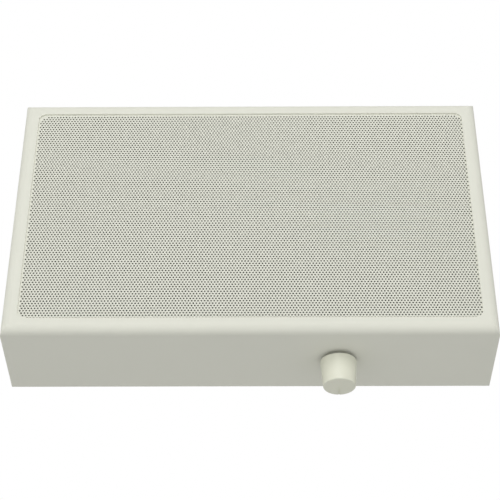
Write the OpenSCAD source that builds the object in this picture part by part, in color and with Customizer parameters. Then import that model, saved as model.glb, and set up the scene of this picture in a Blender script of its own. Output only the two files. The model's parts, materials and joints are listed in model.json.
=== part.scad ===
// Surface wall speaker with a perforated front and a volume knob underneath.
// Frame: origin in the middle of the wall face, +X right, +Y into the wall, +Z up. Millimetres.

/* [Case] */
// Width of the case where it meets the wall
case_w = 310; // [300:1:340]
// Height of the case where it meets the wall
case_h = 185; // [180:1:210]
// Depth from the wall to the front face
case_d = 67; // [66:1:80]
// Sheet thickness of the front cover
cover_t = 1; // [0.8:0.1:1.5]
// Outside radius of the four front edges
edge_r = 5.5; // [4:0.5:7]
// Degrees by which each side leans outwards towards the wall
side_flare = 1.65; // [0.5:0.05:2.5]
// Gap that the cover's rear edge leaves to the wall
wall_gap = 0.5; // [0.2:0.1:1]
// Height of the lip folded inwards along the cover's lower rear edge
lip_h = 7; // [6:0.5:10]

/* [Window and grille] */
// Frame beside the window, from the outline at the wall
frame_side = 11.5; // [11:0.5:16]
// Frame above and below the window, from the outline at the wall
frame_top = 11.5; // [11:0.5:16]
// Height of the window's middle above the case's middle
window_rise = 0.6; // [0:0.1:1.5]
// Radius of the window's corners
window_r = 5; // [3:0.5:10]
// Sheet thickness of the grille
grille_t = 0.8; // [0.6:0.1:1.2]
// Play between the grille and the cover's rounded edges
grille_fit = 0.25; // [0.15:0.05:0.5]
// Distance between neighbouring grille holes
hole_pitch = 8; // [8:0.5:12]
// Diameter of a grille hole
hole_d = 4.8; // [3:0.1:5]
// Plain border around the grille holes
grille_border = 2; // [1.5:0.5:3]
// Thickness of the acoustic cloth
cloth_t = 0.6; // [0.4:0.1:1]

/* [Baffle board] */
// Thickness of the board that carries the driver
board_t = 8; // [6:1:10]
// How far the board stands past the grille on each side
board_step = 1; // [0.5:0.25:1.5]
// Sheet thickness of the angles that hold the board
angle_t = 1.2; // [1:0.1:2]
// Width of each angle along the case's short side
angle_w = 16; // [12:1:20]
// Length of the angle's leg along the case's side
angle_side = 18; // [14:1:24]
// Length of the angle's leg behind the board
angle_leg = 15; // [12:1:20]
// Height of the angles above and below the middle
angle_z = 62; // [55:1:66]

/* [Driver] */
// Middle of the driver, left of the case's middle
driver_x = -55; // [-70:1:-50]
// Outside diameter of the basket's flange
driver_d = 132; // [126:1:136]
// Width of the basket's flange
flange_w = 15; // [14:0.5:17]
// Sheet thickness of the basket
basket_t = 1.2; // [1:0.1:1.5]
// Thickness of the gasket under the flange
gasket_t = 1.5; // [1:0.25:2.5]
// Width of the rolled surround
roll_w = 8; // [6:0.5:9]
// Width of the surround's glued outer lip
outer_lip_w = 4.5; // [3.5:0.5:5]
// Width of the surround's glued inner lip
inner_lip_w = 3; // [2:0.5:4]
// Thickness of surround and spider
soft_t = 0.5; // [0.4:0.1:0.7]
// Height of the paper cone's neck above the spider's seat
neck_h = 4; // [3.5:0.5:6]
// Thickness of the paper cone
cone_t = 0.7; // [0.5:0.1:1]
// Outside radius of the voice coil's former
former_r = 13; // [12:0.5:14]
// Wall of the voice coil's former
former_t = 0.3; // [0.2:0.05:0.4]
// Height of the voice coil's winding
coil_h = 8; // [6:0.5:9]
// Thickness of the voice coil's winding
coil_t = 0.6; // [0.4:0.1:0.8]
// Height of the spider's seat above the front plate
seat_h = 7; // [6:0.5:8]
// Gap between the magnet's yoke and the back plate
magnet_gap = 4.6; // [3:0.1:8]
// Thickness of the magnet's front plate
front_plate_t = 4; // [3:0.5:5]
// Diameter of the ring magnet
magnet_d = 72; // [68:1:76]
// Thickness of the ring magnet
magnet_t = 10; // [8:0.5:11]
// Thickness of the yoke's disc
yoke_t = 4; // [3:0.5:5]

/* [Line transformer] */
// Middle of the transformer, from the case's right side
transformer_side = 55; // [50:1:60]
// Middle of the transformer, above the case's middle
transformer_z = 20; // [16:1:30]
// Width of the laminated core
core_w = 48; // [44:1:54]
// Height of the laminated core above the back plate
core_h = 40; // [36:1:44]
// Thickness of the stack of laminations
core_stack = 18; // [14:1:22]
// Width of the core's middle leg
core_leg = 16; // [14:1:18]
// Sheet thickness of the clamp
clamp_t = 1; // [0.8:0.1:1.5]
// Length of the clamp's feet
clamp_foot = 12; // [11:0.5:14]

/* [Volume control] */
// Knob's axis, right of the case's middle
knob_x = 55.5; // [45:0.5:75]
// Knob's axis, in front of the wall
knob_y = 34.5; // [30:0.5:37]
// Diameter of the control's body
control_d = 28; // [24:1:32]
// Height of the control's body
control_h = 17; // [14:1:22]
// Diameter of the control's threaded bushing
bushing_d = 8; // [7:0.5:9]
// Diameter of the control's shaft
shaft_d = 6; // [5:0.5:6.35]
// Running clearance around the shaft
shaft_play = 0.05; // [0.03:0.01:0.09]
// Thickness of the control's nut
nut_t = 2; // [1.5:0.25:2.5]
// Thickness of the control's washers
washer_t = 0.5; // [0.4:0.1:0.8]

/* [Knob] */
// Diameter of the knob's rim at the case
knob_base_d = 22.8; // [20:0.2:26]
// Diameter of the knob's flat end
knob_end_d = 20.4; // [18:0.2:22]
// Length of the knob
knob_l = 17.8; // [14:0.2:20]
// Gap between the knob and the case
knob_gap = 2.4; // [1.5:0.1:3]
// Wall of the knob
knob_wall = 1.8; // [1.4:0.1:2.2]
// Rounding of the knob's end edge
knob_edge = 0.8; // [0.4:0.1:1.2]

/* [Back plate] */
// Sheet thickness of the back plate
plate_t = 1.5; // [1:0.1:2]
// Play between the back plate and the cover
plate_fit = 0.4; // [0.2:0.1:0.8]
// Height of the back plate's rim
rim_h = 8; // [6:0.5:10]
// Distance between the wall screws from side to side
screw_span_x = 240; // [200:5:250]
// Distance between the wall screws from top to bottom
screw_span_z = 120; // [100:5:130]
// Diameter of a wall-screw hole
wall_hole_d = 5; // [4:0.5:6]
// Middle of the cable entry, right of the case's middle
entry_x = 38; // [32:1:44]
// Middle of the cable entry, above the case's middle
entry_z = -22; // [-28:1:-20]
// Diameter of the cable entry in the plate
entry_d = 20; // [16:0.5:22]
// Diameter of the grommet's bore
grommet_bore_d = 13; // [10:0.5:14]
// Side distance of the cover screws from the middle
cover_screw_x = 90; // [60:5:120]

/* [Terminal block] */
// Number of poles
poles = 3; // [2:1:3]
// Distance between the poles
pole_pitch = 9.5; // [9:0.5:11]
// Length of the block along the wires
block_l = 17; // [15:0.5:20]
// Height of the block above the back plate
block_h = 14; // [12:0.5:16]
// Middle of the block, above the case's middle
block_z = 14; // [12:1:20]
// Gap between the block and the transformer's foot
block_gap = 10.75; // [6:0.25:14]

/* [Wiring and fasteners] */
// Diameter of the insulated inner wires
wire_d = 1.8; // [1.4:0.1:2]
// Diameter of the driver, cover and transformer screws
screw_d = 4; // [3.5:0.1:4.5]

/* [Hidden] */
$fn = 48;

paint = [0.89, 0.89, 0.83];
zinc = [0.72, 0.73, 0.75];
black = [0.08, 0.08, 0.08];
fibre = [0.62, 0.48, 0.32];
copper = [0.72, 0.42, 0.22];
brass = [0.80, 0.66, 0.34];

// Layers from the front face inwards
grille_front = cover_t - case_d;
cloth_front = grille_front + grille_t;
board_front = cloth_front + cloth_t;
board_back = board_front + board_t;
driver_front = board_back + gasket_t;

// Window, grille and board sizes
window_w = case_w - 2 * frame_side;
window_h = case_h - 2 * frame_top;
grille_w = 2 * (flat_half(case_w) - grille_fit);
grille_h = 2 * (flat_half(case_h) - grille_fit);
board_w = grille_w + 2 * board_step;
board_h = grille_h + 2 * board_step;
row_pitch = hole_pitch * sin(60);

// Driver radii and depths, counted from the flange's front face
driver_r = driver_d / 2;
basket_r = driver_r - flange_w;
cone_r = basket_r - roll_w;
lip_r = cone_r - inner_lip_w;
gasket_r = basket_r + outer_lip_w + 0.5;
cutout_r = gasket_r + 1;
bolt_ring = driver_r - 5;
shoulder_r = basket_r - 11;
shoulder_in = shoulder_r - 7;
basket_hole_r = former_r + 4;
plate_bore_r = former_r + coil_t + 0.4;
plate_depth = -driver_front - plate_t - magnet_gap - yoke_t - magnet_t - front_plate_t;
seat_depth = plate_depth - seat_h;
cone_depth = seat_depth - neck_h;
pole_r = former_r - former_t - 0.3;
front_plate_r = magnet_d / 2 - 3;
magnet_depth = plate_depth + front_plate_t;
yoke_depth = magnet_depth + magnet_t;
coil_mid = plate_depth + front_plate_t / 2;
cap_r = former_r + 3;
cap_rise = 5;
cap_t = 0.5;
cone_steps = 8;

// Sheet and seat sizes that several pieces share
plate_shrink = cover_t / cos(side_flare) + plate_fit;
bolt_hole_d = screw_d + 0.5;
head_r = 0.95 * screw_d;
head_h = 0.55 * screw_d;
nut_h = 0.8 * screw_d;
transformer_x = case_w / 2 - transformer_side;
foot_hole_x = core_w / 2 + clamp_t + clamp_foot / 2;
block_x = transformer_x - foot_hole_x - clamp_foot / 2 - block_gap - poles * pole_pitch / 2;
tab_w = 18;
tab_h = 15;
cover_screw_y = 9;
lip_relief = 4;
tongue_x = 90;
tongue_w = 20;
tongue_play = 0.2;
grommet_flange = 1.5;

// Volume control, counted outwards from the case's lower face
body_top = -cover_t - washer_t;
body_end = body_top - control_h;
wafer_t = 1.5;
bushing_end = washer_t + nut_t + 1.5;
boss_start = bushing_end + 0.5;
shaft_end = knob_gap + knob_l - 2.5;
shaft_depth = control_h - 4;
flat_cut = shaft_d / 2 - 0.9;
lug_shift = 9;
lug_d = 2.4;
tag_pitch = 6;

// Soldering tags and wire ends
tag_t = 0.8;
tag_w = 3;
tag_l = 5;
tag_lap = tag_t / 2 + wire_d / 2 - 0.15;
solder_lap = 0.3;
lead_pitch = 6;
lead_slack = 4;

// Straight runs at the ends of the inner wires
feed_rise = 32;
feed_step = 10;
control_run = 20;
driver_rise = 34;
driver_back = 26;
driver_drop = 14;

// Terminal block
sleeve_z = 5.5;
sleeve_d = 4.8;
sleeve_bore_d = wire_d;
fixing_d = 2.4;

// Half width of the flat front between its rounded edges
function flat_half(w) = w / 2 - (case_d - edge_r) * tan(side_flare) - edge_r / cos(side_flare);
// Depth of the cone's front surface at a radius
function cone_z(r) = cone_depth * pow(1 - (r - former_r) / (lip_r - former_r), 1.25);
// Wave of the spider's surface at a radius
function spider_z(r, r0, r1) = seat_depth - soft_t + 1.1 * sin(4 * 360 * (r - r0) / (r1 - r0));
// Point on a curve drawn by four points
function curve(p, t) =
  pow(1 - t, 3) * p[0] + 3 * t * pow(1 - t, 2) * p[1] + 3 * t * t * (1 - t) * p[2] + pow(t, 3) * p[3];
function unit(v) = v / norm(v);

// Outline across the case: wide at the wall, rounded at the front
module flared_outline(w, d, r, back) {
  mid_v = r - d;
  mid_u = w / 2 + mid_v * tan(side_flare) - r / cos(side_flare);
  touch_u = mid_u + r * cos(side_flare);
  touch_v = mid_v - r * sin(side_flare);
  back_u = w / 2 + back * tan(side_flare);
  polygon([
    [-mid_u, -d], [mid_u, -d], [touch_u, touch_v],
    [back_u, back], [-back_u, back], [-touch_u, touch_v]
  ]);
  for (side = [-1, 1]) translate([side * mid_u, mid_v]) circle(r);
}

// Block with four leaning sides and rounded, mitred front edges, a given skin inside the case
module flared_block(skin, back) {
  w = case_w - 2 * skin / cos(side_flare);
  h = case_h - 2 * skin / cos(side_flare);
  intersection() {
    linear_extrude(2 * case_h, center = true)
      flared_outline(w, case_d - skin, edge_r - skin, back);
    rotate([0, -90, 0]) linear_extrude(2 * case_w, center = true)
      flared_outline(h, case_d - skin, edge_r - skin, back);
  }
}

// Same block without rounded edges, for sheet pieces near the wall
module rear_block(skin, front, back) {
  w = case_w - 2 * skin;
  h = case_h - 2 * skin;
  intersection() {
    linear_extrude(2 * case_h, center = true) leaning_outline(w, front, back);
    rotate([0, -90, 0]) linear_extrude(2 * case_w, center = true) leaning_outline(h, front, back);
  }
}

module leaning_outline(w, front, back) {
  front_u = w / 2 + front * tan(side_flare);
  back_u = w / 2 + back * tan(side_flare);
  polygon([[-front_u, front], [front_u, front], [back_u, back], [-back_u, back]]);
}

module rounded_rect(w, h, r) {
  square([w - 2 * r, h], center = true);
  square([w, h - 2 * r], center = true);
  for (x = [-1, 1], y = [-1, 1]) translate([x * (w / 2 - r), y * (h / 2 - r)]) circle(r);
}

module ring(r_out, r_in, h) {
  difference() {
    cylinder(h = h, r = r_out);
    translate([0, 0, -1]) cylinder(h = h + 2, r = r_in);
  }
}

// Upright plane seen from the front, growing from y towards the wall
module facing(y) {
  translate([0, y, 0]) rotate([-90, 0, 0]) children();
}

// Driver's own frame: z runs from the flange's front face to the magnet
module at_driver() {
  translate([driver_x, driver_front, 0]) rotate([-90, 0, 0]) children();
}

// Frame on the back plate's inner face: x right, y up, z away from the wall
module on_plate(x, z) {
  translate([x, -plate_t, z]) rotate([90, 0, 0]) children();
}

// Frame on the case's lower face at the knob: z points out of the case
module at_knob() {
  translate([knob_x, -knob_y, knob_y * tan(side_flare) - case_h / 2])
    rotate([180 - side_flare, 0, 0]) children();
}

// Frame on the case's upper face at a cover screw: z points out of the case
module at_cover_screw(side) {
  translate([side * cover_screw_x, -cover_screw_y, case_h / 2 - cover_screw_y * tan(side_flare)])
    rotate([side_flare, 0, 0]) children();
}

module at_driver_bolts() {
  at_driver() for (a = [45 : 90 : 315]) rotate(a) translate([bolt_ring, 0, 0]) children();
}

module pan_screw(d, l) {
  difference() {
    union() {
      cylinder(h = head_h * d / screw_d, r1 = head_r * d / screw_d, r2 = 0.8 * head_r * d / screw_d);
      translate([0, 0, -l]) cylinder(h = l, r = d / 2);
    }
    for (a = [0, 90])
      rotate(a) translate([-0.5 * d, -0.1 * d, 0.25 * d]) cube([d, 0.2 * d, d]);
  }
}

module hex_nut(across, h, bore) {
  difference() {
    cylinder(h = h, d = across / cos(30), $fn = 6);
    translate([0, 0, -1]) cylinder(h = h + 2, r = bore);
  }
}

// Round wire swept along a curve drawn by four points
module wire(points, d) {
  sides = 8;
  steps = 12;
  path = [for (i = [0 : steps]) curve(points, i / steps)];
  rings = [
    for (i = [0 : steps])
      let (
        along = unit(path[min(i + 1, steps)] - path[max(i - 1, 0)]),
        across = unit(cross(along, [0.2, 1, 0.1])),
        over = cross(along, across)
      )
      for (k = [0 : sides - 1]) path[i] + d / 2 * (across * cos(k * 360 / sides) + over * sin(k * 360 / sides))
  ];
  skin = [
    for (i = [0 : steps - 1], k = [0 : sides - 1])
      let (a = i * sides + k, b = i * sides + (k + 1) % sides)
      each [[a, b, b + sides], [a, b + sides, a + sides]]
  ];
  near_end = [[for (k = [sides - 1 : -1 : 0]) k]];
  far_end = [[for (k = [0 : sides - 1]) steps * sides + k]];
  polyhedron(rings, concat(skin, near_end, far_end));
}

// Cover: folded sheet with the window, the knob's hole and a lip along the lower rear edge
module front_cover() {
  color(paint) {
    difference() {
      flared_block(0, -wall_gap);
      flared_block(cover_t, case_d);
      translate([0, 0, window_rise]) facing(-case_d - 1) linear_extrude(case_d / 2)
        rounded_rect(window_w, window_h, window_r);
      at_knob() translate([0, 0, -2 * cover_t]) cylinder(h = 4 * cover_t, r = bushing_d / 2 + 0.2);
      at_knob() translate([0, -lug_shift, -2 * cover_t]) cylinder(h = 4 * cover_t, d = lug_d + 0.2);
      for (side = [-1, 1])
        at_cover_screw(side) translate([0, 0, -2 * cover_t]) cylinder(h = 4 * cover_t, d = bolt_hole_d);
    }
    intersection() {
      rear_block(cover_t / 2, -wall_gap - cover_t, -wall_gap);
      translate([0, 0, (lip_h - case_h) / 2])
        cube([case_w - 2 * lip_relief, case_d, lip_h + 2 * cover_t], center = true);
    }
  }
}

// Grille: round holes in staggered rows
module grille_sheet() {
  rows = floor((grille_h - 2 * grille_border - hole_d) / row_pitch) + 1;
  columns = floor((grille_w - 2 * grille_border - hole_d) / hole_pitch) + 1;
  color(paint)
    facing(grille_front) linear_extrude(grille_t) difference() {
      square([grille_w, grille_h], center = true);
      for (row = [0 : rows - 1], column = [0 : columns - 1 - row % 2])
        translate([
          (column - (columns - 1 - row % 2) / 2) * hole_pitch,
          (row - (rows - 1) / 2) * row_pitch
        ]) circle(d = hole_d, $fn = 24);
    }
}

module grille_cloth() {
  color(black)
    facing(cloth_front) linear_extrude(cloth_t) square([grille_w, grille_h], center = true);
}

// Board: cut-out in front of the cone and four countersunk bolt holes
module baffle_board() {
  color(fibre)
    difference() {
      facing(board_front) linear_extrude(board_t) difference() {
        square([board_w, board_h], center = true);
        translate([driver_x, 0]) circle(cutout_r, $fn = 96);
      }
      at_driver_bolts() {
        translate([0, 0, -board_t - gasket_t - 1]) cylinder(h = board_t + 2, d = bolt_hole_d);
        translate([0, 0, -board_t - gasket_t]) cylinder(h = screw_d / 2, r1 = screw_d, r2 = screw_d / 2);
      }
      at_board_screws() translate([0, 0, -board_t + 1]) cylinder(h = board_t, d = 3);
    }
}

// Frame of each wood screw: z points away from the board, towards the wall
module at_board_screws() {
  screw_x = case_w / 2 - cover_t + board_back * tan(side_flare) - 0.65 * angle_leg;
  for (x = [-1, 1], z = [-1, 1])
    translate([x * screw_x, board_back, z * angle_z]) rotate([-90, 0, 0]) children();
}

// Four angles on the cover's short sides, behind the board
module board_angles() {
  leg_end = case_w / 2 - angle_leg - cover_t + board_back * tan(side_flare);
  color(zinc)
    for (x = [-1, 1], z = [-1, 1])
      difference() {
        intersection() {
          rear_block(cover_t / cos(side_flare), board_back, 0);
          translate([x * (leg_end + case_w / 2), board_back + angle_side / 2, z * angle_z])
            cube([case_w, angle_side, angle_w], center = true);
        }
        intersection() {
          rear_block((cover_t + angle_t) / cos(side_flare), board_back + angle_t, 1);
          translate([0, 0, z * angle_z]) cube([2 * case_w, 2 * case_d, 2 * angle_w], center = true);
        }
        at_board_screws() translate([0, 0, -1]) cylinder(h = angle_t + 2, d = 3.6);
      }
}

module board_screws() {
  color(zinc) at_board_screws() translate([0, 0, angle_t]) pan_screw(3, board_t - 1);
}

// Basket: pressed flange, four windows, a seat for the spider and a floor on the front plate
module driver_basket() {
  color(zinc) at_driver() difference() {
    rotate_extrude() polygon([
      [driver_r, 0], [basket_r, 0],
      [shoulder_r, seat_depth], [shoulder_in, seat_depth],
      [shoulder_in - 2, plate_depth - basket_t], [basket_hole_r, plate_depth - basket_t],
      [basket_hole_r, plate_depth], [shoulder_in - 2 + basket_t, plate_depth],
      [shoulder_in + basket_t, seat_depth + basket_t], [shoulder_r + basket_t, seat_depth + basket_t],
      [basket_r + basket_t, basket_t], [driver_r, basket_t]
    ]);
    for (a = [0 : 90 : 270])
      rotate(a - 32) rotate_extrude(angle = 64)
        translate([shoulder_r - 2, 4]) square([flange_w + 4, seat_depth - 8]);
    for (a = [45 : 90 : 315])
      rotate(a) translate([bolt_ring, 0, -1]) cylinder(h = basket_t + 2, d = bolt_hole_d);
  }
}

module driver_gasket() {
  color(black) at_driver() translate([0, 0, -gasket_t]) difference() {
    ring(driver_r, gasket_r, gasket_t);
    for (a = [45 : 90 : 315])
      rotate(a) translate([bolt_ring, 0, -1]) cylinder(h = gasket_t + 2, d = bolt_hole_d);
  }
}

module driver_bolts() {
  bolt_l = board_t + gasket_t + basket_t + nut_h + 1;
  color(zinc) at_driver_bolts() translate([0, 0, -board_t - gasket_t]) difference() {
    union() {
      cylinder(h = screw_d / 2, r1 = screw_d, r2 = screw_d / 2);
      cylinder(h = bolt_l, r = screw_d / 2);
    }
    for (a = [0, 90])
      rotate(a) translate([-0.5 * screw_d, -0.1 * screw_d, -1]) cube([screw_d, 0.2 * screw_d, 2.2]);
  }
}

module driver_nuts() {
  color(zinc) at_driver_bolts() translate([0, 0, basket_t]) hex_nut(1.75 * screw_d, nut_h, screw_d / 2);
}

// Surround: a half roll between two glued lips
module surround() {
  roll_r = roll_w / 2;
  color(black) at_driver() rotate_extrude() {
    intersection() {
      translate([cone_r + roll_r, 0]) difference() {
        circle(roll_r);
        circle(roll_r - soft_t);
      }
      translate([cone_r, -roll_w]) square([roll_w, roll_w]);
    }
    translate([lip_r, -soft_t]) square([inner_lip_w + soft_t / 2, soft_t]);
    translate([basket_r - soft_t / 2, -soft_t]) square([outer_lip_w + soft_t / 2, soft_t]);
  }
}

// Cone: curved paper wall between a flat rim and a neck on the former
module paper_cone() {
  radii = [for (i = [0 : cone_steps]) former_r + (lip_r - former_r) * i / cone_steps];
  color([0.14, 0.14, 0.14]) at_driver() rotate_extrude() polygon(concat(
    [for (r = radii) [r, cone_z(r)]],
    [[cone_r, 0], [cone_r, cone_t]],
    [for (i = [cone_steps : -1 : 1]) [radii[i], cone_z(radii[i]) + cone_t]],
    [[former_r + cone_t, cone_depth + 3], [former_r, cone_depth + 3]]
  ));
}

// Dust cap: a shallow dome that ends on the cone's surface
module dust_cap() {
  dome_r = (cap_r * cap_r + cap_rise * cap_rise) / (2 * cap_rise);
  radii = [for (i = [0 : cone_steps]) former_r + (lip_r - former_r) * i / cone_steps];
  color(black) at_driver() rotate_extrude() intersection() {
    translate([0, cone_z(cap_r) - cap_rise + dome_r]) difference() {
      circle(dome_r, $fn = 96);
      circle(dome_r - cap_t, $fn = 96);
    }
    polygon(concat([[0, -cone_depth], [0, cone_depth]], [for (r = radii) [r, cone_z(r)]], [[lip_r, -cone_depth]]));
  }
}

module coil_former() {
  color([0.85, 0.80, 0.62]) at_driver()
    translate([0, 0, cone_depth]) ring(former_r, former_r - former_t, coil_mid + coil_h / 2 + 1 - cone_depth);
}

module voice_coil() {
  color(copper) at_driver()
    translate([0, 0, coil_mid - coil_h / 2]) ring(former_r + coil_t, former_r, coil_h);
}

// Spider: a waved disc between the former and the basket's seat
module spider() {
  wave_steps = 24;
  neck_r = former_r + soft_t;
  radii = [for (i = [0 : wave_steps]) neck_r + (shoulder_in - neck_r) * i / wave_steps];
  top = [for (r = radii) [r, spider_z(r, neck_r, shoulder_in)]];
  under = [for (i = [wave_steps : -1 : 0]) top[i] + [0, soft_t]];
  color([0.80, 0.62, 0.30]) at_driver() rotate_extrude() {
    polygon(concat(top, under));
    translate([former_r, seat_depth - soft_t]) square([2 * soft_t, 2.5]);
    translate([shoulder_in - soft_t, seat_depth - soft_t]) square([5, soft_t]);
  }
}

module front_plate() {
  color(zinc) at_driver() translate([0, 0, plate_depth]) ring(front_plate_r, plate_bore_r, front_plate_t);
}

// Magnet: a ferrite ring with broken edges
module ring_magnet() {
  bevel = 1;
  color([0.2, 0.2, 0.22]) at_driver() translate([0, 0, magnet_depth]) rotate_extrude() polygon([
    [basket_hole_r, 0], [magnet_d / 2 - bevel, 0], [magnet_d / 2, bevel],
    [magnet_d / 2, magnet_t - bevel], [magnet_d / 2 - bevel, magnet_t], [basket_hole_r, magnet_t]
  ]);
}

// Yoke: a disc and the vented pole in one turned piece
module magnet_yoke() {
  vent_r = 3;
  bevel = 1.5;
  color(zinc) at_driver() rotate_extrude() polygon([
    [vent_r, plate_depth], [pole_r, plate_depth], [pole_r, yoke_depth],
    [front_plate_r, yoke_depth], [front_plate_r, yoke_depth + yoke_t - bevel],
    [front_plate_r - bevel, yoke_depth + yoke_t], [vent_r, yoke_depth + yoke_t]
  ]);
}

// Fibre strip on the back of the flange with two soldering tags
module driver_tags() {
  strip_t = 1.6;
  color(fibre) at_driver() translate([basket_r + basket_t + 2, -12, basket_t]) cube([flange_w - 5, 24, strip_t]);
  color(brass) at_driver() for (side = [-1, 1]) {
    translate([driver_r - 8, side * 6 - 2, basket_t + strip_t]) cube([tag_t, 4, 7]);
    translate([driver_r - 9, side * 6 - 2, basket_t + strip_t]) cube([5, 4, 0.6]);
  }
}

// Flexible leads from the cone through the basket's window to the tag strip
module tinsel_leads() {
  start_r = (former_r + lip_r) / 2 + lead_slack;
  color(copper) at_driver() for (side = [-1, 1])
    wire([
      [start_r, side * 4, cone_z(start_r) + cone_t + 0.42],
      [start_r + lead_slack, side * 5, seat_depth - 6],
      [basket_r - 6, side * 6, seat_depth - 8],
      [driver_r - 7.9, side * 6, basket_t + 4.4]
    ], 1);
}

// Core: stacked laminations with a middle leg and two winding windows
module transformer_core() {
  yoke_w = core_leg / 2;
  window = (core_w - 2 * core_leg) / 2;
  color([0.35, 0.36, 0.38]) on_plate(transformer_x, transformer_z)
    rotate([90, 0, 0]) linear_extrude(core_stack, center = true) difference() {
      translate([-core_w / 2, 0]) square([core_w, core_h]);
      for (side = [-1, 1])
        translate([side * (core_leg + window) / 2 - window / 2, yoke_w]) square([window, core_h - 2 * yoke_w]);
    }
}

// Bobbin: a square tube round the middle leg with a flange at each end
module transformer_bobbin() {
  play = 0.2;
  wall = 1;
  yoke_w = core_leg / 2;
  tube_h = core_h - 2 * yoke_w - 2 * play;
  window = (core_w - 2 * core_leg) / 2;
  flange_x = core_leg + 2 * window - 2 * play;
  flange_y = core_stack + 2 * window - 2 * play;
  color([0.85, 0.83, 0.75]) on_plate(transformer_x, transformer_z) translate([0, 0, yoke_w + play])
    difference() {
      union() {
        linear_extrude(tube_h) square([core_leg + 2 * (play + wall), core_stack + 2 * (play + wall)], center = true);
        for (z = [0, tube_h - wall])
          translate([0, 0, z]) linear_extrude(wall) square([flange_x, flange_y], center = true);
      }
      translate([0, 0, -1]) linear_extrude(tube_h + 2) square([core_leg + 2 * play, core_stack + 2 * play], center = true);
    }
}

// Winding with its outer wrap, between the bobbin's flanges
module transformer_winding() {
  play = 0.2;
  wall = 1;
  yoke_w = core_leg / 2;
  window = (core_w - 2 * core_leg) / 2;
  winding_h = core_h - 2 * yoke_w - 2 * play - 2 * wall;
  color([0.86, 0.72, 0.25]) on_plate(transformer_x, transformer_z) translate([0, 0, yoke_w + play + wall])
    linear_extrude(winding_h) difference() {
      rounded_rect(core_leg + 2 * window - 4 * play, core_stack + 2 * window - 2, 3);
      square([core_leg + 2 * (play + wall), core_stack + 2 * (play + wall)], center = true);
    }
}

// Clamp: a folded strap over the core with two feet
module transformer_clamp() {
  strap_w = core_stack - 2;
  outer_w = core_w + 2 * clamp_t;
  color(zinc) on_plate(transformer_x, transformer_z) difference() {
    rotate([90, 0, 0]) linear_extrude(strap_w, center = true) difference() {
      union() {
        translate([-outer_w / 2, 0]) square([outer_w, core_h + clamp_t]);
        translate([-outer_w / 2 - clamp_foot, 0]) square([outer_w + 2 * clamp_foot, clamp_t]);
      }
      translate([-core_w / 2, -1]) square([core_w, core_h + 1]);
    }
    for (side = [-1, 1])
      translate([side * foot_hole_x, 0, -1]) cylinder(h = clamp_t + 2, d = bolt_hole_d);
  }
}

module transformer_screws() {
  color(zinc) on_plate(transformer_x, transformer_z) for (side = [-1, 1])
    translate([side * foot_hole_x, 0, clamp_t]) pan_screw(screw_d, clamp_t + plate_t);
}

// Control: a round can with its threaded bushing and a lug that stops it turning
module control_body() {
  color(zinc) at_knob() difference() {
    union() {
      translate([0, 0, body_end]) cylinder(h = control_h, d = control_d);
      translate([0, 0, body_top - 1]) cylinder(h = bushing_end - body_top + 1, d = bushing_d);
      translate([0, -lug_shift, body_top - 1]) cylinder(h = cover_t + washer_t + 1, d = lug_d);
    }
    translate([0, 0, body_top - shaft_depth]) cylinder(h = 2 * control_h, d = shaft_d + 2 * shaft_play);
  }
}

// Wafer behind the control with three soldering tags
module control_tags() {
  color(fibre) at_knob() translate([0, 0, body_end - wafer_t]) cylinder(h = wafer_t, d = control_d - 2);
  color(brass) at_knob() for (i = [-1 : 1])
    translate([i * tag_pitch - tag_w / 2, -tag_t / 2, body_end - wafer_t - tag_l]) cube([tag_w, tag_t, tag_l]);
}

module control_lock_washer() {
  color(zinc) at_knob() translate([0, 0, body_top]) ring(bushing_d / 2 + 3, bushing_d / 2 + 0.1, washer_t);
}

module control_washer() {
  color(zinc) at_knob() ring(bushing_d / 2 + 2.8, bushing_d / 2 + 0.1, washer_t);
}

module control_nut() {
  color(zinc) at_knob() translate([0, 0, washer_t]) hex_nut(bushing_d + 3, nut_t, bushing_d / 2);
}

// Shaft with a flat where the knob sits
module control_shaft() {
  shaft_l = shaft_end + shaft_depth - body_top - 0.2;
  color(zinc) at_knob() difference() {
    translate([0, 0, shaft_end - shaft_l]) cylinder(h = shaft_l, d = shaft_d);
    translate([-shaft_d, flat_cut, boss_start]) cube([2 * shaft_d, shaft_d, shaft_l]);
  }
}

// Knob: tapered shell with a boss, four ribs and a pointer groove across half the end
module volume_knob() {
  end_z = knob_gap + knob_l;
  base_r = knob_base_d / 2;
  end_r = knob_end_d / 2;
  web_z = end_z - 2;
  boss_r = shaft_d / 2 + 2;
  color(paint) at_knob() difference() {
    union() {
      rotate_extrude() difference() {
        union() {
          polygon([
            [0, knob_gap], [base_r, knob_gap], [end_r, end_z - knob_edge],
            [end_r - knob_edge, end_z], [0, end_z]
          ]);
          translate([end_r - knob_edge, end_z - knob_edge]) circle(knob_edge, $fn = 32);
        }
        polygon([
          [0, knob_gap - 1], [base_r - knob_wall, knob_gap - 1], [base_r - knob_wall, knob_gap],
          [end_r - knob_wall, web_z], [0, web_z]
        ]);
      }
      translate([0, 0, boss_start]) cylinder(h = web_z + 0.5 - boss_start, r = boss_r);
      for (a = [45 : 90 : 315])
        rotate(a) translate([boss_r - 1, -0.6, boss_start + 3])
          cube([base_r - knob_wall - boss_r + 1, 1.2, web_z + 0.5 - boss_start - 3]);
    }
    difference() {
      translate([0, 0, boss_start - 1]) cylinder(h = shaft_end + 0.3 - boss_start + 1, d = shaft_d);
      translate([-shaft_d, flat_cut, boss_start - 2]) cube([2 * shaft_d, shaft_d, knob_l]);
    }
    translate([-0.5, -2 * end_r, end_z - 0.5]) cube([1, 2 * end_r, 2]);
  }
}

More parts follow.
